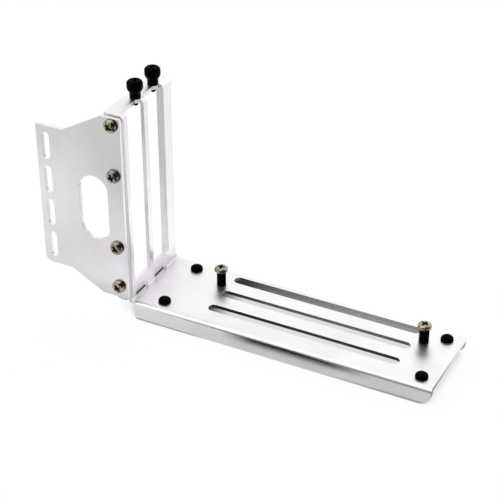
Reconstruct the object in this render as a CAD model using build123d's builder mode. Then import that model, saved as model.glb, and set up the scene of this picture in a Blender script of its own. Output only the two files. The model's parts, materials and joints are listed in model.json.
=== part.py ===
from build123d import *

import os

# Vertical graphics-card mount: a folded aluminium bracket with a slotted side plate.
# Frame: millimetres, +Z up. The base runs along +X away from the upright, the side plate is on the
# -Y side, and the origin is the middle of the whole mount's footprint, at the height of the floor.

os.makedirs("parts", exist_ok=True)

# Sheet metal of the bracket
sheet = 2.0
bend_inner = 1.0
bend_outer = bend_inner + sheet
relief = 0.7
bend_notch = 0.5

# Base, with a long flange folded down on each side
base_length = 175.4
base_width = 52.4
flange_depth = 10.3
flange_start = 2.5
flange_corner = 7.0

# Upright, with flanges folded back on both sides and on top
upright_height = 112.4
side_flange = 11.0
side_flange_drop = 0.5
side_flange_corner = 6.0
back_flange = 9.2
top_flange = 11.0

# Card slots: each has a window, a tongue gap at the bend and a lead-in lip
slot_count = 2
slot_pitch = 20.32
window_width = 16.4
window_edge = 5.5
window_bottom = 9.5
window_corner = 0.8
window_setback = 3.6
tongue_width = 12.1
tongue_offset = 1.7
tongue_height = 2.0
lip_start = 0.8
lip_length = 2.7
lip_drop = 0.5

# Long slots in the base
base_slot_count = 3
base_slot_width = 6.0
base_slot_pitch = 15.15
base_slot_edge = 7.25
base_slot_start = 40.6
base_slot_end = 23.4

# Side plate
plate_sheet = 2.0
plate_reach = 52.4
plate_edge = 0.3
plate_bottom = 2.3
plate_top_drop = 1.2
plate_corner = 4.0
strip_width = 17.1
strip_bottom = 12.8
strip_top_drop = 14.8
top_slope_end = 11.1
bottom_slope_end = 15.6
side_slot_length = 16.2
side_slot_width = 4.4
side_slot_edge = 5.9
side_slot_margin = 3.0
cutout_width = 18.0
cutout_height = 38.6
cutout_edge = 9.4

# Pan-head screws
pan_diameter = 7.6
pan_height = 2.5
pan_round = 1.1
pan_step = 0.32
recess_span = 4.2
recess_web = 1.2
recess_depth = 1.4
recess_taper = 8.0
screw_tip = 0.4
side_thread = 3.5
side_screw_length = 6.0
side_screw_inset = 5.5
side_screw_bottom = 9.2
side_screw_lower = 33.9
side_screw_upper_drop = 34.9
side_screw_top_drop = 5.5
riser_thread = 3.0
riser_screw_length = 5.0

# Thumb screws
knob_diameter = 8.7
knob_height = 7.0
knob_chamfer = 2.6
knob_round = 2.0
knob_step = 0.58
neck_diameter = 5.95
neck_height = 3.0
thumb_thread = 3.5
thumb_thread_length = 4.5
thumb_inset = 5.2
thumb_edge = 22.5
thumb_spacing = 18.1
thumb_tab = 3.2

# Riser posts
post_flats = 5.0
post_height = 9.0
post_slot_gap = 4.4
post_bore = 6.5
post_stud = 3.0
post_stud_length = 3.5
post_chamfer = 0.3

# Rubber feet, pushed up through the base
foot_start = 16.8
foot_end = 8.5
foot_edge = 8.05
foot_drop = 0.5
foot_diameter = 7.0
foot_stem = 4.0
nub_diameter = 6.9
nub_rim = 0.8
nub_shoulder_diameter = 6.0
nub_shoulder = 1.9
nub_top = 3.0
nub_height = 2.8
rubber_edge = 0.3

# Fits
clearance = 0.1

# Places that follow from the sizes above
base_top = flange_depth + foot_drop
upright_top = base_top + upright_height
upright_x = (plate_reach - base_length) / 2
base_end = upright_x + base_length
front_y = (plate_sheet + pan_height - base_width) / 2
back_y = front_y + base_width
middle_y = (front_y + back_y) / 2
plate_face = front_y - plate_sheet
flange_foot = upright_top - bend_outer
upright_foot = base_top + bend_inner + bend_notch
window_ys = [front_y + window_edge + window_width / 2 + i * slot_pitch for i in range(slot_count)]
tongue_ys = [y - tongue_offset for y in window_ys]
slot_ys = [back_y - base_slot_edge - i * base_slot_pitch for i in range(base_slot_count)]
slot_first = upright_x + base_slot_start
slot_last = base_end - base_slot_end
post_y = back_y - base_slot_edge - base_slot_pitch / 2
post_xs = {"left": slot_first - post_slot_gap, "right": slot_last + post_slot_gap}
foot_xs = {"left": upright_x + foot_start, "right": base_end - foot_end}
foot_ys = {"front": front_y + foot_edge, "back": back_y - foot_edge}
thumb_x = upright_x - thumb_inset
thumb_ys = {"front": front_y + thumb_edge, "back": front_y + thumb_edge + thumb_spacing}
side_screw_x = upright_x - side_screw_inset
side_screw_zs = {
    "bottom": base_top + side_screw_bottom,
    "lower": base_top + side_screw_lower,
    "upper": upright_top - side_screw_upper_drop,
    "top": upright_top - side_screw_top_drop,
}
plate_left = upright_x - plate_reach
strip_low = base_top + strip_bottom
strip_high = upright_top - strip_top_drop
strip_middle = (strip_low + strip_high) / 2
slot_room = strip_high - strip_low - side_slot_length - 2 * side_slot_margin
side_slot_count = 1 + int(slot_room / slot_pitch)


def save(part, name):
    """Labels a finished piece and writes its file."""
    part.label = name
    export_step(part, f"parts/{name}.step")


# The bracket is one folded sheet
with BuildPart() as main_bracket:
    # Base, upright and top flange in one side view, between the bends of the long flanges
    with BuildSketch(Plane.XZ.offset(-middle_y)) as side_view:
        with BuildLine():
            side_line = FilletPolyline(
                (base_end, base_top),
                (upright_x, base_top),
                (upright_x, upright_top),
                (upright_x - top_flange, upright_top),
                radius=[bend_inner, bend_outer],
            )
            offset(side_line, amount=sheet, side=Side.LEFT)
        make_face()
    extrude(amount=base_width / 2 - bend_outer, both=True)

    # The two cross bends are wider, as the flanges stop short of them
    with BuildSketch(Plane.XZ.offset(-middle_y)):
        with Locations((upright_x + flange_start, upright_foot)):
            Rectangle(bend_outer + flange_start, bend_outer + upright_foot, align=Align.MAX)
        with Locations((upright_x, flange_foot)):
            Rectangle(top_flange, bend_outer, align=(Align.MAX, Align.MIN))
        add(side_view.sketch_local, mode=Mode.INTERSECT)
    extrude(amount=base_width / 2 - relief, both=True)

    # Long flanges of the base
    with BuildSketch(Plane.YZ.offset(upright_x + flange_start)):
        with BuildLine():
            end_line = FilletPolyline(
                (front_y, base_top - flange_depth),
                (front_y, base_top),
                (back_y, base_top),
                (back_y, base_top - flange_depth),
                radius=[bend_outer, bend_outer],
            )
            offset(end_line, amount=sheet, side=Side.RIGHT)
        make_face()
    extrude(amount=base_length - flange_start)

    # Flanges of the upright, above a notch that frees them from the cross bend
    with BuildSketch(Plane.XY.offset(upright_foot)):
        with BuildLine():
            top_line = FilletPolyline(
                (upright_x - side_flange, front_y),
                (upright_x, front_y),
                (upright_x, back_y),
                (upright_x - back_flange, back_y),
                radius=[bend_outer, bend_outer],
            )
            offset(top_line, amount=sheet, side=Side.LEFT)
        make_face()
    extrude(amount=flange_foot - upright_foot)

    # The front one reaches down past the cross bend
    with BuildSketch(Plane.XY.offset(base_top - side_flange_drop)):
        with Locations((upright_x - bend_outer, front_y)):
            Rectangle(side_flange - bend_outer, sheet, align=(Align.MAX, Align.MIN))
    extrude(amount=upright_foot - base_top + side_flange_drop)
    flange_corners = main_bracket.edges().filter_by(Axis.Y).group_by(Axis.X)
    fillet(flange_corners[0].sort_by(Axis.Z)[0], radius=side_flange_corner)
    fillet(flange_corners[-1].group_by(Axis.Z)[0], radius=flange_corner)

    # Card windows, which run up through the top bend, with a flat round tab for each thumb screw
    with BuildSketch(Plane.YZ.offset(upright_x)) as windows:
        for y in window_ys:
            with Locations((y, base_top + window_bottom)):
                Rectangle(
                    window_width,
                    upright_top - base_top - window_bottom,
                    align=(Align.CENTER, Align.MIN),
                )
        fillet(windows.vertices().group_by(Axis.Y)[0], radius=window_corner)
    extrude(amount=-window_setback, mode=Mode.SUBTRACT)
    for tab_y, window_y in zip(thumb_ys.values(), window_ys):
        with BuildSketch(Plane.XY.offset(upright_top)):
            with Locations((thumb_x, tab_y)):
                Circle(thumb_tab)
            with Locations((upright_x, window_y)):
                Rectangle(
                    top_flange, window_width, align=(Align.MAX, Align.CENTER), mode=Mode.INTERSECT
                )
        extrude(amount=-sheet)

    # Tongue gaps at the cross bend, each with a lip that leads the tongue in
    lip_tip = upright_x - lip_start
    lip_end = lip_tip + lip_length
    for y in tongue_ys:
        with BuildSketch(Plane.XZ.offset(-y)):
            with Locations((lip_end, base_top + tongue_height)):
                Rectangle(
                    lip_end - upright_x + bend_outer, tongue_height + bend_outer, align=Align.MAX
                )
        extrude(amount=tongue_width / 2, both=True, mode=Mode.SUBTRACT)
        with BuildSketch(Plane.XZ.offset(-y)):
            with BuildLine():
                Polyline(
                    (lip_end, base_top),
                    (lip_tip, base_top - lip_drop),
                    (lip_tip, base_top - lip_drop - sheet),
                    (lip_end, base_top - sheet),
                    close=True,
                )
            make_face()
        extrude(amount=tongue_width / 2, both=True)

    # Long slots, and the holes for posts, feet and thumb screws
    with BuildSketch(Plane.XY.offset(base_top)):
        with Locations(*[((slot_first + slot_last) / 2, y) for y in slot_ys]):
            SlotOverall(slot_last - slot_first, base_slot_width)
        with Locations(*[(x, post_y) for x in post_xs.values()]):
            Circle(post_stud / 2 + clearance)
        with Locations(*[(x, y) for x in foot_xs.values() for y in foot_ys.values()]):
            Circle(foot_stem / 2 + clearance)
    extrude(amount=-sheet, mode=Mode.SUBTRACT)
    with BuildSketch(Plane.XY.offset(upright_top)):
        with Locations(*[(thumb_x, y) for y in thumb_ys.values()]):
            Circle(thumb_thread / 2 + clearance)
    extrude(amount=-sheet, mode=Mode.SUBTRACT)

    # Holes for the screws of the side plate
    with BuildSketch(Plane.XZ.offset(-front_y)):
        with Locations(*[(side_screw_x, z) for z in side_screw_zs.values()]):
            Circle(side_thread / 2 + clearance)
    extrude(amount=-sheet, mode=Mode.SUBTRACT)
save(main_bracket.part, "main_bracket")

# Flat plate on the outside of the front flange, with a strip of case slots
with BuildPart() as side_plate:
    with BuildSketch(Plane.XZ.offset(-front_y)) as outline:
        with BuildLine():
            Polyline(
                (plate_left, strip_low),
                (plate_left + strip_width, strip_low),
                (upright_x - bottom_slope_end, base_top + plate_bottom),
                (upright_x - plate_edge, base_top + plate_bottom),
                (upright_x - plate_edge, upright_top - plate_top_drop),
                (upright_x - top_slope_end, upright_top - plate_top_drop),
                (plate_left + strip_width, strip_high),
                (plate_left, strip_high),
                close=True,
            )
        make_face()
        fillet(outline.vertices().group_by(Axis.X)[0].sort_by(Axis.Y)[0], radius=plate_corner)
        with Locations((plate_left + side_slot_edge, strip_middle)):
            with GridLocations(0, slot_pitch, 1, side_slot_count):
                SlotOverall(side_slot_length, side_slot_width, rotation=90, mode=Mode.SUBTRACT)
        with Locations((upright_x - cutout_edge - cutout_width / 2, strip_middle)):
            SlotOverall(cutout_height, cutout_width, rotation=90, mode=Mode.SUBTRACT)
        with Locations(*[(side_screw_x, z) for z in side_screw_zs.values()]):
            Circle(side_thread / 2 + clearance, mode=Mode.SUBTRACT)
    extrude(amount=plate_sheet)
save(side_plate.part, "side_plate")


def turned_plane(seat):
    """Gives the plane through a seat's axis on which a turned piece's half section is drawn."""
    return Plane(seat.origin, x_dir=seat.x_dir, z_dir=-seat.y_dir)


def pan_screw(seat, thread, length):
    """Makes a pan-head screw with its head on the seat."""
    head = pan_diameter / 2
    with BuildPart() as screw:
        with BuildSketch(turned_plane(seat)):
            with BuildLine():
                Polyline(
                    (0, pan_height),
                    (0, -length),
                    (thread / 2 - screw_tip, -length),
                    (thread / 2, screw_tip - length),
                    (thread / 2, 0),
                    (head, 0),
                    (head, pan_height - pan_round),
                    (head - pan_step, pan_height - pan_step),
                    (head - pan_round, pan_height),
                    close=True,
                )
            make_face()
        revolve(axis=Axis(seat.origin, seat.z_dir))
        with BuildSketch(seat.offset(pan_height)):
            Rectangle(recess_span, recess_web)
            Rectangle(recess_web, recess_span)
        extrude(amount=-recess_depth, taper=recess_taper, mode=Mode.SUBTRACT)
    return screw.part


for place, z in side_screw_zs.items():
    side_seat = Plane((side_screw_x, plate_face, z), z_dir=(0, -1, 0))
    save(pan_screw(side_seat, side_thread, side_screw_length), f"side_screw_{place}")

for place, x in post_xs.items():
    riser_seat = Plane((x, post_y, base_top + post_height))
    save(pan_screw(riser_seat, riser_thread, riser_screw_length), f"riser_screw_{place}")


def thumb_screw(seat):
    """Makes a thumb screw with its neck on the seat."""
    knob = knob_diameter / 2
    neck = neck_diameter / 2
    top = neck_height + knob_height
    with BuildPart() as screw:
        with BuildSketch(turned_plane(seat)):
            with BuildLine():
                Polyline(
                    (0, top),
                    (0, -thumb_thread_length),
                    (thumb_thread / 2 - screw_tip, -thumb_thread_length),
                    (thumb_thread / 2, screw_tip - thumb_thread_length),
                    (thumb_thread / 2, 0),
                    (neck, 0),
                    (neck, neck_height),
                    (knob, neck_height + knob_chamfer),
                    (knob, top - knob_round),
                    (knob - knob_step, top - knob_step),
                    (knob - knob_round, top),
                    close=True,
                )
            make_face()
        revolve(axis=Axis(seat.origin, seat.z_dir))
        with BuildSketch(seat.offset(top)):
            Rectangle(recess_span, recess_web)
            Rectangle(recess_web, recess_span)
        extrude(amount=-recess_depth, taper=recess_taper, mode=Mode.SUBTRACT)
    return screw.part


for place, y in thumb_ys.items():
    save(thumb_screw(Plane((thumb_x, y, upright_top))), f"thumb_screw_{place}")


def riser_post(x):
    """Makes a hexagonal post with a threaded stud below and a blind bore above."""
    with BuildPart() as post:
        with BuildSketch(Plane.XY.offset(base_top)):
            with Locations((x, post_y)):
                RegularPolygon(post_flats / 2, 6, major_radius=False)
        extrude(amount=post_height)
        chamfer(post.faces().sort_by(Axis.Z)[-1].edges(), length=post_chamfer)
        with BuildSketch(Plane.XY.offset(base_top)):
            with Locations((x, post_y)):
                Circle(post_stud / 2)
        extrude(amount=-post_stud_length)
        with BuildSketch(Plane.XY.offset(base_top + post_height)):
            with Locations((x, post_y)):
                Circle(riser_thread / 2 + clearance)
        extrude(amount=-post_bore, mode=Mode.SUBTRACT)
    return post.part


for place, x in post_xs.items():
    save(riser_post(x), f"riser_post_{place}")


def rubber_foot(x, y):
    """Makes a push-in foot: a pad under the base, a stem through it and a domed nub on top."""
    axis_plane = Plane((x, y, 0), x_dir=(1, 0, 0), z_dir=(0, -1, 0))
    pad = foot_diameter / 2
    nub = nub_diameter / 2
    with BuildPart() as foot:
        with BuildSketch(axis_plane):
            with BuildLine():
                Polyline(
                    (0, 0),
                    (pad - rubber_edge, 0),
                    (pad, rubber_edge),
                    (pad, base_top - sheet),
                    (foot_stem / 2, base_top - sheet),
                    (foot_stem / 2, base_top),
                    (nub - rubber_edge, base_top),
                    (nub, base_top + rubber_edge),
                    (nub, base_top + nub_rim),
                    (nub_shoulder_diameter / 2, base_top + nub_shoulder),
                    (nub_top / 2, base_top + nub_height),
                    (0, base_top + nub_height),
                    close=True,
                )
            make_face()
        revolve(axis=Axis((x, y, 0), (0, 0, 1)))
    return foot.part


for side, x in foot_xs.items():
    for row, y in foot_ys.items():
        save(rubber_foot(x, y), f"rubber_foot_{row}_{side}")
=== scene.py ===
import json
import math

import bmesh
import bpy
from mathutils import Matrix, Vector


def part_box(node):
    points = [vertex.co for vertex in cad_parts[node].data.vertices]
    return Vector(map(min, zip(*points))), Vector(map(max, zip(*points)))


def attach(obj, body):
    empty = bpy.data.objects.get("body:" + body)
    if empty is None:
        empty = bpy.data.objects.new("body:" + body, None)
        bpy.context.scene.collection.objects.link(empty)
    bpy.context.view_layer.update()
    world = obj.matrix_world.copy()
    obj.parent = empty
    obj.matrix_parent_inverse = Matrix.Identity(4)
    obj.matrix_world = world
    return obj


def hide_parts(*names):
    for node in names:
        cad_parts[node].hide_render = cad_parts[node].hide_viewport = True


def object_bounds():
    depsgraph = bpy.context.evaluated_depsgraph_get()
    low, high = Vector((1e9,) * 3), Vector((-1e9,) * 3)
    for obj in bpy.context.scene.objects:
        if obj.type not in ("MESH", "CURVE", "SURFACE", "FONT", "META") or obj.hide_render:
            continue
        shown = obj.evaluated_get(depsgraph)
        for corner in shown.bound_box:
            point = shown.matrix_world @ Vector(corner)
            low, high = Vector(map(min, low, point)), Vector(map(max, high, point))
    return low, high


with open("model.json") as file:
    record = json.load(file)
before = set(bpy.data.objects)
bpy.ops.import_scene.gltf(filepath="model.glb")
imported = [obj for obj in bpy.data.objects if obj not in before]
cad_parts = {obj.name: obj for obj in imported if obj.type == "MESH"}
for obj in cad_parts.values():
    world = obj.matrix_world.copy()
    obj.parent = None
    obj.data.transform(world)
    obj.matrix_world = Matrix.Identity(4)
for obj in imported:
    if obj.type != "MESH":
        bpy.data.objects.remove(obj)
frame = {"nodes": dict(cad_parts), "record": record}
cad_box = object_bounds()

MM = 0.001

# Camera, solved from the photograph
CAMERA_AZIMUTH = math.radians(27.1)
CAMERA_ELEVATION = math.radians(32.07)
CAMERA_DISTANCE = 773.4 * MM
CAMERA_LENS = 106.5

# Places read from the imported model, among them the upright's face over the base
BRACKET_LOW, BRACKET_HIGH = (Vector(corner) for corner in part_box("main_bracket"))
CAMERA_TARGET = BRACKET_LOW + Vector((75.9, 16.3, 52.6)) * MM
UPRIGHT_FACE = BRACKET_HIGH.x - 175.4 * MM
BASE_TOP = BRACKET_LOW.z + 10.3 * MM
FLOOR = cad_box[0][2]

# Middle of the first tongue gap from the bracket's front, and the gaps' pitch, in millimetres
TONGUE_START, TONGUE_PITCH = 10.5, 20.32

# Detail of the turned pieces: points in a ring, and rings in a thread's turn, a dome and a rounding
AROUND = 64
TURN_RINGS, DOME_RINGS, ROUND_RINGS = 8, 12, 8
CREASE = math.radians(35)

# Turned pieces, in millimetres from the seat along the piece's own axis
BROKEN_EDGE = 0.15
PAN_RADIUS, PAN_HEIGHT, PAN_CROWN, PAN_EDGE = 3.8, 2.5, 0.75, 0.2
PAN_SQUARENESS, NUB_SQUARENESS = 0.72, 0.96
KNOB_RADIUS, KNOB_TOP, KNOB_ROUND = 4.35, 10.0, 2.0
KNOB_UNDERCUT = [(KNOB_RADIUS, 6.2), (4.3, 5.6), (4.12, 5.0), (3.8, 4.4), (3.4, 3.8), (3.1, 3.3)]
NECK_RADIUS, NECK_HEIGHT = 2.975, 2.8
RECESS_SPAN, RECESS_WEB, RECESS_DEPTH, RECESS_TAPER, RECESS_RISE = 4.3, 1.5, 1.5, 0.66, 1.0
SHEET, RUBBER_EDGE = 2.0, 0.1
FOOT_RADIUS, FOOT_ROUND, STEM_RADIUS = 3.5, 0.5, 2.0
NUB_RADIUS, NUB_HEIGHT, NUB_SHOULDER, NUB_EDGE = 3.45, 2.8, 0.8, 0.3

# Threads: radius, pitch and depth, where they start below the seat, and each screw's tip as
# radius and height above its end
SIDE_THREAD, RISER_THREAD, THUMB_THREAD = (1.75, 0.6, 0.22), (1.5, 0.5, 0.18), (1.6, 0.6, 0.2)
PAN_THREAD_START, THUMB_THREAD_START = -0.3, -0.2
PAN_TIP_HEIGHT, PAN_TIP_STEP = 0.5, 0.45
THUMB_TIP = [(THUMB_THREAD[0], 0.9), (1.4, 0.4), (0.8, 0.0), (0.0, 0.0)]

# How far each screw was turned when it was tightened, in degrees
SIDE_TURNS = {"bottom": 38.0, "lower": 42.0, "upper": 22.0, "top": 55.0}
RISER_TURNS = {"left": 15.0, "right": 70.0}
THUMB_TURNS = {"front": 30.0, "back": 10.0}

# Brushed grain and noise, in lines or spots to a metre
GRAIN_ALONG, GRAIN_ACROSS = 14.0, 1500.0
CLOUD_SCALE, MOTTLE_SCALE, STAIN_SCALE, TURNED_SCALE = 28.0, 2600.0, 900.0, 3500.0
SKIN_SCALE, BLOOM_SCALE = 2200.0, 350.0

# Colours, as red, green, blue and alpha
WHITE = (1.0, 1.0, 1.0, 1.0)
GRAIN_DARK, GRAIN_LIGHT = (0.865, 0.845, 0.87, 1.0), (0.925, 0.91, 0.93, 1.0)
SMUDGE = (0.80, 0.775, 0.805, 1.0)
# Painted shade for the foot of the upright, darkest beside the tongue gaps
FOOT_PAINTED_SHADE = (0.38, 0.37, 0.38, 1.0)
# Near white for the matt bend of the upright: a painted sheen
BEND_MATT_PAINTED_SHEEN = (0.98, 0.97, 0.985, 1.0)
NICKEL, NICKEL_STAIN = (0.54, 0.48, 0.395, 1.0), (0.24, 0.175, 0.125, 1.0)
# Painted shade deep in the cross recesses of the nickel screws
NICKEL_RECESS_SHADE = (0.022, 0.015, 0.011, 1.0)
BLACK_DEEP = (0.0003, 0.0003, 0.0003, 1.0)
METAL_WORN, RUBBER_WORN = (0.0015, 0.0015, 0.002, 1.0), (0.0015, 0.0015, 0.0015, 1.0)
FLOOR_SHADED, FLOOR_LIT = (0.06, 0.06, 0.065, 1.0), (0.82, 0.82, 0.83, 1.0)

# Brightness of the floor and the world to the camera, and of the world where it lights the part
FLOOR_WHITE, WORLD_WHITE, WORLD_LIGHT = 1.03, 1.0, 0.62

# Share of the floor's look that glows, so that it is white, and isn't lit by the lamps
FLOOR_GLOW = 0.92


# Node helpers


def fill(tree, node, sockets):
    """Fills a node's sockets with plain values or links."""
    for name, value in sockets.items():
        if isinstance(value, bpy.types.NodeSocket):
            tree.links.new(value, node.inputs[name])
        else:
            node.inputs[name].default_value = value


def add_node(tree, kind, sockets=None, **settings):
    """Adds a shader node, sets its options and fills its sockets."""
    node = tree.nodes.new(kind)
    for name, value in settings.items():
        setattr(node, name, value)
    fill(tree, node, sockets or {})
    return node


def maths(tree, operation, *values):
    """Adds a maths node and returns its result."""
    return add_node(
        tree, "ShaderNodeMath", dict(enumerate(values)), operation=operation
    ).outputs[0]


def times(tree, first, second):
    """Multiplies two values."""
    return maths(tree, "MULTIPLY", first, second)


def spread(tree, value, low, high, new_low=0.0, new_high=1.0, **settings):
    """Maps a value from one range to another, and holds it at the ends."""
    sockets = {
        "Value": value,
        "From Min": low,
        "From Max": high,
        "To Min": new_low,
        "To Max": new_high,
    }
    return add_node(tree, "ShaderNodeMapRange", sockets, **settings).outputs["Result"]


def gradient(tree, vector, toward, low, high):
    """Rises smoothly from 0 to 1 with how far a vector reaches in a direction."""
    sockets = {0: vector, 1: tuple(Vector(toward).normalized())}
    product = add_node(tree, "ShaderNodeVectorMath", sockets, operation="DOT_PRODUCT")
    reach = product.outputs["Value"]
    return spread(tree, reach, low, high, interpolation_type="SMOOTHSTEP")


def noise(tree, place, scale, detail=3.0, roughness=0.5):
    """Adds a noise texture and returns its value, from 0 to 1."""
    sockets = {"Vector": place, "Scale": scale, "Detail": detail, "Roughness": roughness}
    return add_node(tree, "ShaderNodeTexNoise", sockets).outputs[0]


def brushed(tree, place, lines):
    """Draws noise out into fine grain, by how many lines there are to a metre along each axis."""
    drawn = add_node(tree, "ShaderNodeMapping", {"Vector": place, "Scale": lines}).outputs[0]
    return noise(tree, drawn, 1.0, 4.0, 0.65)


def blend_colours(tree, factor, first, second):
    """Mixes two colours by a factor."""
    sockets = {0: factor, 6: first, 7: second}
    return add_node(tree, "ShaderNodeMix", sockets, data_type="RGBA").outputs[2]


def blend_values(tree, factor, first, second):
    """Mixes two values by a factor."""
    sockets = {0: factor, 2: first, 3: second}
    return add_node(tree, "ShaderNodeMix", sockets, data_type="FLOAT").outputs[0]


def axes(tree, vector):
    """Gives the X, Y and Z of a vector."""
    return tuple(add_node(tree, "ShaderNodeSeparateXYZ", {"Vector": vector}).outputs)


def object_place(tree):
    """Gives the place on the object, which is also the place in the frame."""
    return add_node(tree, "ShaderNodeTexCoord").outputs["Object"]


def bumped(tree, height, distance, strength, edge):
    """Gives the normal of a bumpy surface with slightly rounded edges."""
    rounded = add_node(tree, "ShaderNodeBevel", {"Radius": edge}, samples=6).outputs[0]
    sockets = {"Height": height, "Distance": distance, "Strength": strength, "Normal": rounded}
    return add_node(tree, "ShaderNodeBump", sockets).outputs[0]


def new_material(name):
    """Makes a material and returns it with its node tree and its shader."""
    material = bpy.data.materials.new(name)
    material.use_nodes = True
    return material, material.node_tree, material.node_tree.nodes["Principled BSDF"]


# Materials


def foot_painted_shade(tree, y, z):
    """Shade painted on the upright's foot: a little all along, more on both sides of each gap."""
    above_base = maths(tree, "SUBTRACT", z, BASE_TOP)
    gaps = [BRACKET_LOW.y + (TONGUE_START + TONGUE_PITCH * row) * MM for row in range(2)]
    from_gaps = [maths(tree, "ABSOLUTE", maths(tree, "SUBTRACT", y, gap)) for gap in gaps]
    near_gap = spread(tree, maths(tree, "MINIMUM", *from_gaps), 3.5 * MM, 7.0 * MM, 0.5, 0.0)
    low_down = spread(tree, above_base, 2.0 * MM, 7.0 * MM, 1.0, 0.0)
    all_along = spread(tree, above_base, 2.0 * MM, 11.0 * MM, 0.24, 0.0)
    return maths(tree, "ADD", times(tree, near_gap, low_down), all_along)


def aluminium_sheet():
    """Brushed sheet, matt and with a painted near-white sheen where it bends round the upright, and
    painted shade at its foot. The grain turns with the fold.
    """
    material, tree, shader = new_material("brushed_aluminium")
    place = object_place(tree)
    x, y, z = axes(tree, place)
    upright = maths(tree, "LESS_THAN", x, UPRIGHT_FACE + 0.5 * MM)
    along_base = brushed(tree, place, (GRAIN_ALONG, GRAIN_ACROSS, GRAIN_ACROSS))
    up_the_upright = brushed(tree, place, (GRAIN_ACROSS, GRAIN_ACROSS, GRAIN_ALONG))
    grain = blend_values(tree, upright, along_base, up_the_upright)
    cloud = noise(tree, place, CLOUD_SCALE, 4.0, 0.6)

    grained = blend_colours(tree, spread(tree, grain, 0.3, 0.7), GRAIN_DARK, GRAIN_LIGHT)
    smudge = spread(tree, cloud, 0.42, 0.66, 0.0, 0.6)
    smudged = blend_colours(tree, smudge, grained, SMUDGE)
    # Painted shade on the upright's foot, darkening the sheet just above the base
    painted_foot_shade = times(tree, upright, foot_painted_shade(tree, y, z))
    colour = blend_colours(tree, painted_foot_shade, smudged, FOOT_PAINTED_SHADE)

    normal = add_node(tree, "ShaderNodeNewGeometry").outputs["Normal"]
    normal_x, normal_y, normal_z = axes(tree, normal)
    corner = spread(tree, times(tree, normal_x, normal_y), -0.42, -0.12, 1.0, 0.0)
    bend = times(tree, upright, corner)
    worn_top = spread(tree, normal_z, 0.75, 0.98, 0.0, 0.12)
    grain_rough = maths(tree, "ADD", spread(tree, grain, 0.3, 0.7, 0.17, 0.25), worn_top)
    smudge_rough = times(tree, spread(tree, cloud, 0.4, 0.65), 0.06)
    rough = maths(tree, "ADD", grain_rough, smudge_rough)

    mottle = times(tree, noise(tree, place, MOTTLE_SCALE, 2.0, 0.6), 0.25)
    relief = maths(tree, "ADD", grain, mottle)
    strength = blend_values(tree, upright, 0.17, 0.20)
    # At the bend the sheet is matt, not metallic, and painted near white as a sheen
    sockets = {
        "Metallic": blend_values(tree, bend, 1.0, 0.0),
        "Base Color": blend_colours(tree, bend, colour, BEND_MATT_PAINTED_SHEEN),
        "Roughness": blend_values(tree, bend, rough, 0.6),
        "Normal": bumped(tree, relief, 0.02 * MM, strength, 0.2 * MM),
    }
    fill(tree, shader, sockets)
    return material


def nickel_screw():
    """Polished nickel plate, a little warm, with stains, and with shade painted deep in the recess.
    """
    material, tree, shader = new_material("nickel_plate")
    place = object_place(tree)
    stain = noise(tree, place, STAIN_SCALE, 3.0, 0.6)
    colour = blend_colours(tree, spread(tree, stain, 0.4, 0.65), NICKEL, NICKEL_STAIN)
    # Painted shade in the recess, from how closed in each point is
    around = add_node(tree, "ShaderNodeAmbientOcclusion", {"Distance": 1.4 * MM}, samples=12)
    painted_recess_shade = spread(tree, around.outputs["AO"], 0.42, 0.86, 1.0, 0.0)
    rough = spread(tree, stain, 0.3, 0.7, 0.06, 0.16)
    sockets = {
        "Metallic": 1.0,
        "Base Color": blend_colours(tree, painted_recess_shade, colour, NICKEL_RECESS_SHADE),
        "Roughness": blend_values(tree, painted_recess_shade, rough, 0.6),
        "Normal": bumped(tree, noise(tree, place, TURNED_SCALE), 0.02 * MM, 0.3, 0.15 * MM),
    }
    fill(tree, shader, sockets)
    return material


def black_metal(name, roughness_low, roughness_high, grain_scale):
    """Black metal with a fine grain and hardly any gloss."""
    material, tree, shader = new_material(name)
    grain = noise(tree, object_place(tree), grain_scale, 3.0, 0.6)
    sockets = {
        "Metallic": 0.0,
        "Specular IOR Level": 0.02,
        "Base Color": blend_colours(tree, grain, BLACK_DEEP, METAL_WORN),
        "Roughness": spread(tree, grain, 0.3, 0.7, roughness_low, roughness_high),
        "Normal": bumped(tree, grain, 0.03 * MM, 0.4, 0.15 * MM),
    }
    fill(tree, shader, sockets)
    return material


def black_rubber():
    """Moulded rubber, almost matt, with a fine skin texture."""
    material, tree, shader = new_material("black_rubber")
    place = object_place(tree)
    skin = noise(tree, place, SKIN_SCALE, 4.0, 0.65)
    bloom = noise(tree, place, BLOOM_SCALE, 2.0, 0.5)
    sockets = {
        "Metallic": 0.0,
        "Specular IOR Level": 0.02,
        "Base Color": blend_colours(tree, bloom, BLACK_DEEP, RUBBER_WORN),
        "Roughness": spread(tree, skin, 0.3, 0.7, 0.38, 0.6),
        "Normal": bumped(tree, skin, 0.05 * MM, 0.5, 0.2 * MM),
    }
    fill(tree, shader, sockets)
    return material


def set_material(piece, material):
    """Gives one piece its only material."""
    piece.data.materials.clear()
    piece.data.materials.append(material)


def dress_nodes():
    """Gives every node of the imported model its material, and returns them by slot."""
    finishes = {
        "aluminium_sheet": aluminium_sheet(),
        "nickel_screw": nickel_screw(),
        "black_screw": black_metal("black_anodised", 0.22, 0.40, 1800.0),
        "black_post": black_metal("black_oxide", 0.30, 0.48, 1400.0),
        "black_rubber": black_rubber(),
    }
    for part in frame["record"]["subparts"]:
        set_material(frame["nodes"][part["node"]], finishes[part["material_slot"]])
    return finishes


# Turned pieces, with real threads and cross recesses


def dome(radius, low, high, squareness):
    """Points of a flattened dome, from its middle out to its rim."""
    points = [(0.0, high)]
    for step in range(1, DOME_RINGS + 1):
        turn = math.pi / 2 * (1 - step / DOME_RINGS)
        out = radius * math.cos(turn) ** squareness
        points.append((out, low + (high - low) * math.sin(turn) ** squareness))
    return points


def rings(profile):
    """One round ring for each point of a side view."""
    return [[point] * AROUND for point in profile]


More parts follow.
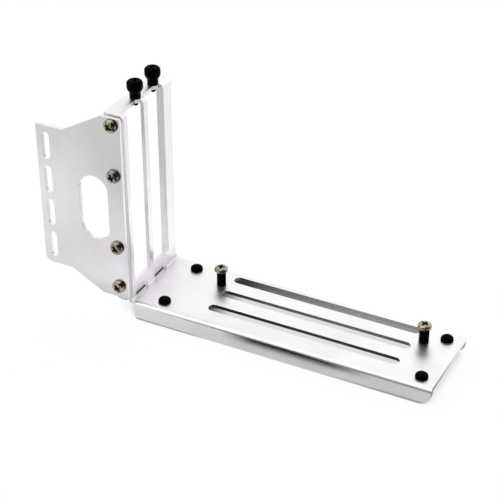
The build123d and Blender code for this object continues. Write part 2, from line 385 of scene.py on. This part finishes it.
def thread_rings(start, end, thread):
    """Rings whose radius winds down a V thread from start to end."""
    radius, pitch, depth = thread
    count = math.ceil((start - end) / pitch * TURN_RINGS)
    wound = []
    for step in range(count + 1):
        height = start + (end - start) * step / count
        ring = []
        for turn in range(AROUND):
            phase = (height / pitch + turn / AROUND) % 1.0
            ring.append((radius - depth * (1 - abs(2 * phase - 1)), height))
        wound.append(ring)
    return wound


def lathe(turned_rings):
    """Joins rings, top first, into the points and faces of a turned piece."""
    points, faces = [], []
    for ring in turned_rings:
        for turn, (radius, height) in enumerate(ring):
            angle = 2 * math.pi * turn / AROUND
            points.append((radius * math.cos(angle), radius * math.sin(angle), height))
    for row in range(len(turned_rings) - 1):
        low, high = row * AROUND, (row + 1) * AROUND
        for turn in range(AROUND):
            after = (turn + 1) % AROUND
            faces.append((low + turn, high + turn, high + after, low + after))
    return points, faces


def solid(name, points, faces):
    """Makes an object from points in millimetres, merges doubles and turns its faces out."""
    mesh = bpy.data.meshes.new(name)
    mesh.from_pydata([Vector(point) * MM for point in points], [], faces)
    builder = bmesh.new()
    builder.from_mesh(mesh)
    bmesh.ops.remove_doubles(builder, verts=builder.verts, dist=0.001 * MM)
    bmesh.ops.recalc_face_normals(builder, faces=builder.faces)
    builder.to_mesh(mesh)
    builder.free()
    piece = bpy.data.objects.new(name, mesh)
    bpy.context.scene.collection.objects.link(piece)
    return piece


def cut_recess(piece, top):
    """Cuts a tapered cross recess down into the top of a turned piece."""
    reach, web = RECESS_SPAN / 2, RECESS_WEB / 2
    cross = [(reach, -web), (reach, web), (web, web), (web, reach), (-web, reach), (-web, web)]
    cross += [(-x, -y) for x, y in cross]
    flare = 1 + (1 - RECESS_TAPER) * RECESS_RISE / RECESS_DEPTH
    corners = [(x * RECESS_TAPER, y * RECESS_TAPER, top - RECESS_DEPTH) for x, y in cross]
    corners += [(x * flare, y * flare, top + RECESS_RISE) for x, y in cross]
    count = len(cross)
    walls = [(i, (i + 1) % count, (i + 1) % count + count, i + count) for i in range(count)]
    walls += [tuple(reversed(range(count))), tuple(range(count, 2 * count))]
    tool = solid("recess_tool", corners, walls)
    cutter = piece.modifiers.new("recess", "BOOLEAN")
    cutter.object = tool
    cutter.operation = "DIFFERENCE"
    cutter.solver = "EXACT"
    cut = piece.evaluated_get(bpy.context.evaluated_depsgraph_get())
    mesh = bpy.data.meshes.new_from_object(cut)
    piece.modifiers.clear()
    piece.data = mesh
    bpy.data.objects.remove(tool)


def screw(name, head, thread, start, tip, length):
    """Makes a screw with a cross recess from its head, its thread and its tip."""
    end = tip[0][1] - length
    below = [(out, rise - length) for out, rise in tip]
    piece = solid(name, *lathe(rings(head) + thread_rings(start, end, thread) + rings(below)))
    cut_recess(piece, head[0][1])
    return piece


def pan_screw(name, thread, length):
    """Makes a pan-head screw with a domed crown."""
    radius = thread[0]
    head = dome(PAN_RADIUS, PAN_CROWN, PAN_HEIGHT, PAN_SQUARENESS)
    head += [(PAN_RADIUS, PAN_EDGE), (PAN_RADIUS - BROKEN_EDGE, 0.0), (radius, 0.0)]
    tip = [(radius, PAN_TIP_HEIGHT), (radius - PAN_TIP_STEP, 0.0), (0.0, 0.0)]
    return screw(name, head, thread, PAN_THREAD_START, tip, length)


def thumb_screw(name, length):
    """Makes a thumb screw with a rounded knob that draws in to its neck."""
    head = [(0.0, KNOB_TOP)]
    for step in range(ROUND_RINGS + 1):
        angle = math.pi / 2 * (1 - step / ROUND_RINGS)
        out = KNOB_RADIUS - KNOB_ROUND + KNOB_ROUND * math.cos(angle)
        head.append((out, KNOB_TOP - KNOB_ROUND + KNOB_ROUND * math.sin(angle)))
    head += KNOB_UNDERCUT
    head += [(NECK_RADIUS, NECK_HEIGHT), (NECK_RADIUS, BROKEN_EDGE)]
    head += [(NECK_RADIUS - BROKEN_EDGE, 0.0), (THUMB_THREAD[0], 0.0)]
    return screw(name, head, THUMB_THREAD, THUMB_THREAD_START, THUMB_TIP, length)


def rubber_foot(name, length):
    """Makes a push-in foot: a domed nub, a stem through the sheet and a rounded pad."""
    profile = dome(NUB_RADIUS, NUB_SHOULDER, NUB_HEIGHT, NUB_SQUARENESS)
    profile += [(NUB_RADIUS, NUB_EDGE), (NUB_RADIUS - NUB_EDGE, 0.0)]
    profile += [(STEM_RADIUS, 0.0), (STEM_RADIUS, -SHEET)]
    profile += [(FOOT_RADIUS - RUBBER_EDGE, -SHEET), (FOOT_RADIUS, -SHEET - RUBBER_EDGE)]
    profile += [(FOOT_RADIUS, FOOT_ROUND - length)]
    profile += [(FOOT_RADIUS - BROKEN_EDGE, BROKEN_EDGE - length)]
    profile += [(FOOT_RADIUS - FOOT_ROUND, -length), (0.0, -length)]
    return solid(name, *lathe(rings(profile)))


def seat_of(node, height, outward=False):
    """Reads a turned node's seat, which is below its head, and its length under the seat."""
    low, high = (Vector(corner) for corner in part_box(node))
    seat = (low + high) / 2
    if outward:
        seat.y = low.y + height * MM
        return seat, (high.y - seat.y) / MM
    seat.z = high.z - height * MM
    return seat, (seat.z - low.z) / MM


def put(piece, node, seat, slot, finishes, turn=0.0, outward=False):
    """Puts a turned piece on its seat in place of a node, with its axis up or out to the front."""
    spin = Matrix.Rotation(math.radians(turn), 4, "Z")
    stand = Matrix.Rotation(math.radians(90), 4, "X") if outward else Matrix.Identity(4)
    piece.data.transform(Matrix.Translation(seat) @ stand @ spin)
    piece.data.shade_smooth()
    piece.data.set_sharp_from_angle(angle=CREASE)
    set_material(piece, finishes[slot])
    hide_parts(node)
    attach(piece, "root")


def turned_pieces(finishes):
    """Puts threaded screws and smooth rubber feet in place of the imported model's plain ones."""
    for place, turn in SIDE_TURNS.items():
        node = f"side_screw_{place}"
        seat, length = seat_of(node, PAN_HEIGHT, outward=True)
        piece = pan_screw(f"{node}_turned", SIDE_THREAD, length)
        put(piece, node, seat, "nickel_screw", finishes, turn, outward=True)
    for place, turn in RISER_TURNS.items():
        node = f"riser_screw_{place}"
        seat, length = seat_of(node, PAN_HEIGHT)
        piece = pan_screw(f"{node}_turned", RISER_THREAD, length)
        put(piece, node, seat, "nickel_screw", finishes, turn)
    for place, turn in THUMB_TURNS.items():
        node = f"thumb_screw_{place}"
        seat, length = seat_of(node, KNOB_TOP)
        put(thumb_screw(f"{node}_turned", length), node, seat, "black_screw", finishes, turn)
    for part in frame["record"]["subparts"]:
        if part["material_slot"] == "black_rubber":
            node = part["node"]
            seat, length = seat_of(node, NUB_HEIGHT)
            put(rubber_foot(f"{node}_turned", length), node, seat, "black_rubber", finishes)


# Surroundings


def staged(name, mesh):
    """Adds a mesh to the scene as a new object."""
    item = bpy.data.objects.new(name, mesh)
    bpy.context.scene.collection.objects.link(item)
    return item


def bare_tree(name, mesh):
    """Gives a mesh a material with nothing in it, and returns its node tree."""
    material = bpy.data.materials.new(name)
    material.use_nodes = True
    material.node_tree.nodes.clear()
    mesh.materials.append(material)
    return material.node_tree


def glow_over(tree, factor, under, strength):
    """Ends a tree in a white glow, laid by a factor over another shader."""
    sockets = {"Color": WHITE, "Strength": strength}
    glow = add_node(tree, "ShaderNodeEmission", sockets).outputs[0]
    mix = add_node(tree, "ShaderNodeMixShader", {0: factor, 1: under, 2: glow}).outputs[0]
    add_node(tree, "ShaderNodeOutputMaterial", {"Surface": mix})


def floor_light(tree, x, y, seen_directly):
    """How much light the floor has: less under the base, and least behind the upright's foot."""
    above = add_node(tree, "ShaderNodeAmbientOcclusion", {"Distance": 60.0 * MM}, samples=16)
    opened = spread(tree, above.outputs["AO"], 0.30, 0.52)
    lit_from, lit_to = UPRIGHT_FACE + 34.0 * MM, UPRIGHT_FACE + 47.0 * MM
    lit_through_slots = spread(tree, x, lit_from, lit_to, 0.05, 0.72)
    open_floor = blend_values(tree, opened, lit_through_slots, 1.0)

    mirrored_from, mirrored_to = UPRIGHT_FACE + 31.0 * MM, UPRIGHT_FACE + 150.0 * MM
    along = spread(tree, x, mirrored_from, mirrored_to, 0.02, 0.42)
    across = spread(tree, y, -12.0 * MM, 12.0 * MM, 0.20, 1.0)
    mirrored_floor = blend_values(tree, opened, times(tree, along, across), 1.0)

    enters = spread(tree, x, UPRIGHT_FACE - 15.0 * MM, UPRIGHT_FACE - 10.0 * MM)
    leaves = spread(tree, x, UPRIGHT_FACE - 6.0 * MM, UPRIGHT_FACE + 1.0 * MM, 1.0, 0.0)
    starts = spread(tree, y, BRACKET_LOW.y + 13.0 * MM, BRACKET_LOW.y + 19.0 * MM)
    stops = spread(tree, y, BRACKET_HIGH.y, BRACKET_HIGH.y + 12.0 * MM, 1.0, 0.0)
    shadow = times(tree, times(tree, enters, leaves), times(tree, starts, stops))
    unshadowed = maths(tree, "SUBTRACT", 1.0, times(tree, shadow, 0.96))
    shaded_floor = times(tree, open_floor, unshadowed)
    return blend_values(tree, seen_directly, mirrored_floor, shaded_floor)


def floor_in_metal(tree, place, x, y):
    """How bright metal mirrors the floor: graded in front, dark to the right, and pale behind."""
    toward_plate = spread(tree, y, -175.0 * MM, -120.0 * MM, 0.64, 0.93)
    along_plate = spread(tree, x, -180.0 * MM, -145.0 * MM, 1.10, 0.88)
    to_the_right = spread(tree, x, -120.0 * MM, -20.0 * MM, 0.0, 0.30)
    far_off = maths(tree, "ADD", times(tree, toward_plate, along_plate), to_the_right)
    along_flange = spread(tree, x, -80.0 * MM, 10.0 * MM, 0.80, 0.66)
    close = spread(tree, y, -60.0 * MM, -42.0 * MM)
    in_front = blend_values(tree, close, far_off, along_flange)

    right = spread(tree, x, 35.0 * MM, 65.0 * MM)
    front_right = times(tree, right, spread(tree, y, -140.0 * MM, -110.0 * MM, 1.0, 0.0))
    darkened = blend_values(tree, front_right, in_front, 0.06)
    # A painted contact shadow along the front flange's foot, seen only in metal
    touching = spread(tree, y, BRACKET_LOW.y - 2.2 * MM, BRACKET_LOW.y - 0.9 * MM, 0.0, 0.65)
    mirrored_contact_shadow = times(tree, touching, spread(tree, x, 50.0 * MM, 85.0 * MM))
    front = times(tree, darkened, maths(tree, "SUBTRACT", 1.0, mirrored_contact_shadow))

    behind = gradient(tree, place, (0.0, 1.0, 0.0), -20.0 * MM, 50.0 * MM)
    behind_left = spread(tree, x, -120.0 * MM, -80.0 * MM, 0.70, 1.15)
    far_behind = spread(tree, y, 85.0 * MM, 135.0 * MM, 1.0, 0.87)
    return blend_values(tree, behind, front, times(tree, behind_left, far_behind))


def white_floor():
    """A pale floor that looks white, also in metal and gloss, and is dark under the base."""
    mesh = bpy.data.meshes.new("floor")
    builder = bmesh.new()
    bmesh.ops.create_grid(builder, x_segments=1, y_segments=1, size=6.0)
    builder.to_mesh(mesh)
    builder.free()
    staged("floor", mesh).location.z = FLOOR

    tree = bare_tree("white_floor", mesh)
    rays = add_node(tree, "ShaderNodeLightPath").outputs
    place = object_place(tree)
    x, y, _ = axes(tree, place)
    light = floor_light(tree, x, y, rays["Is Camera Ray"])
    mirrored = floor_in_metal(tree, place, x, y)
    white = blend_values(tree, rays["Is Camera Ray"], mirrored, FLOOR_WHITE)
    colour = blend_colours(tree, light, FLOOR_SHADED, FLOOR_LIT)
    diffuse = add_node(tree, "ShaderNodeBsdfDiffuse", {"Color": colour}).outputs[0]
    seen = maths(tree, "MAXIMUM", rays["Is Camera Ray"], rays["Is Glossy Ray"])
    glow_over(tree, times(tree, seen, FLOOR_GLOW), diffuse, times(tree, white, light))


def painted_reflection_card():
    """A dark sheet on the floor in front and up a wall, seen only in gloss, which paints a dark
    reflection on the front flange.
    """
    near, far, top = 6.0 * MM, 270.0 * MM, 150.0 * MM
    reaches = (8.0, 55.0, 120.0, 146.0, 260.0)
    left, start, fade, end, limit = (UPRIGHT_FACE + reach * MM for reach in reaches)
    lean = 0.45
    front = BRACKET_LOW.y
    height = FLOOR + 0.5 * MM
    corners = [
        (left - lean * near, front - near, height),
        (limit - lean * near, front - near, height),
        (limit - lean * far, front - far, height),
        (left - lean * far, front - far, height),
        (limit - lean * far, front - far, height + top),
        (left - lean * far, front - far, height + top),
    ]
    mesh = bpy.data.meshes.new("painted_reflection_card")
    mesh.from_pydata(corners, [], [(0, 3, 2, 1), (3, 5, 4, 2)])
    card = staged("painted_reflection_card", mesh)
    # Seen only in gloss: a painted dark reflection that casts no shadow
    for rays in ("camera", "diffuse", "transmission", "volume_scatter", "shadow"):
        setattr(card, "visible_" + rays, False)

    tree = bare_tree("painted_reflection_card", mesh)
    x, y, z = axes(tree, object_place(tree))
    reach = maths(tree, "SUBTRACT", front, y)
    across = maths(tree, "ADD", x, times(tree, reach, lean))
    at_left = spread(tree, across, left, left + 20.0 * MM, 0.0, 0.6)
    faint = times(tree, at_left, spread(tree, reach, 40.0 * MM, 60.0 * MM))
    enters = maths(tree, "MAXIMUM", faint, spread(tree, across, start, start + 18.0 * MM))
    farther = spread(tree, reach, 16.0 * MM, 40.0 * MM, 0.0, 0.65)
    leaves = spread(tree, across, fade, end, 1.0, farther)
    nears = spread(tree, reach, near, near + 2.0 * MM)
    ends = spread(tree, z, height + top - 25.0 * MM, height + top, 1.0, 0.0)
    cover = times(tree, times(tree, enters, leaves), times(tree, nears, ends))
    clear = add_node(tree, "ShaderNodeBsdfTransparent").outputs[0]
    glow_over(tree, cover, clear, 0.0)


def mirrored_world(tree, direction):
    """How bright metal mirrors the studio, in each direction."""
    behind = gradient(tree, direction, (-0.386, 0.754, 0.531), 0.55, 0.95)
    right = gradient(tree, direction, (0.9, 0.3, 0.3), -0.10, 0.25)
    walls = spread(tree, behind, 0.0, 1.0, 0.68, 1.04)
    mirrored = maths(tree, "ADD", walls, times(tree, right, 0.18))
    screen = ((0.55, 0.70, 0.45), 0.86, 0.97, 1.15)
    dark_room = ((0.75, -0.60, 0.25), 0.30, 0.60, 0.02)
    horizon = ((-0.386, -0.90, 0.15), 0.93, 0.985, 0.95)
    overhead = ((-0.386, -0.35, 0.86), 0.76, 0.88, 1.25)
    for toward, low, high, brightness in (screen, dark_room, horizon, overhead):
        share = gradient(tree, direction, toward, low, high)
        mirrored = blend_values(tree, share, mirrored, brightness)
    return mirrored


def white_world():
    """A white studio with a dark room behind the photographer, which polished metal mirrors."""
    world = bpy.data.worlds.new("studio")
    bpy.context.scene.world = world
    world.use_nodes = True
    tree = world.node_tree
    tree.nodes.clear()
    rays = add_node(tree, "ShaderNodeLightPath").outputs
    direction = add_node(tree, "ShaderNodeTexCoord").outputs["Generated"]
    mirrored = mirrored_world(tree, direction)
    lit = blend_values(tree, rays["Is Glossy Ray"], WORLD_LIGHT, mirrored)
    strength = blend_values(tree, rays["Is Camera Ray"], lit, WORLD_WHITE)
    sockets = {"Color": WHITE, "Strength": strength}
    shade = add_node(tree, "ShaderNodeBackground", sockets).outputs[0]
    add_node(tree, "ShaderNodeOutputWorld", {"Surface": shade})


def soft_box(name, place, target, width, height, power):
    """A large rectangular lamp that faces its target, and that gloss doesn't show."""
    lamp = bpy.data.lights.new(name, "AREA")
    lamp.shape = "RECTANGLE"
    lamp.size = width
    lamp.size_y = height
    lamp.energy = power
    box = bpy.data.objects.new(name, lamp)
    box.location = place
    box.rotation_euler = (Vector(target) - Vector(place)).to_track_quat("-Z", "Y").to_euler()
    box.visible_glossy = False
    bpy.context.scene.collection.objects.link(box)


def studio_lights():
    """Soft light from above and behind, and a wide strip above the front left."""
    target = (0.0, 0.0, 50.0 * MM)
    soft_box("top_light", (-0.35, 0.7, 1.0), target, width=1.1, height=0.8, power=4.0)
    soft_box("front_light", (-0.45, -0.6, 0.95), target, width=0.9, height=0.5, power=3.0)


def photo_camera():
    """The camera at the photograph's viewing angle."""
    camera = bpy.data.cameras.new("camera")
    camera.lens = CAMERA_LENS
    camera.sensor_width = 36.0
    camera.clip_start = 10.0 * MM
    camera.clip_end = 50.0
    level, rise = math.cos(CAMERA_ELEVATION), math.sin(CAMERA_ELEVATION)
    back = Vector(
        (math.sin(CAMERA_AZIMUTH) * level, -math.cos(CAMERA_AZIMUTH) * level, rise)
    )
    holder = bpy.data.objects.new("camera", camera)
    holder.location = CAMERA_TARGET + back * CAMERA_DISTANCE
    holder.rotation_euler = back.to_track_quat("Z", "Y").to_euler()
    bpy.context.scene.collection.objects.link(holder)
    bpy.context.scene.camera = holder


bpy.context.scene.view_settings.view_transform = "Standard"
turned_pieces(dress_nodes())
white_floor()
painted_reflection_card()
white_world()
studio_lights()
photo_camera()
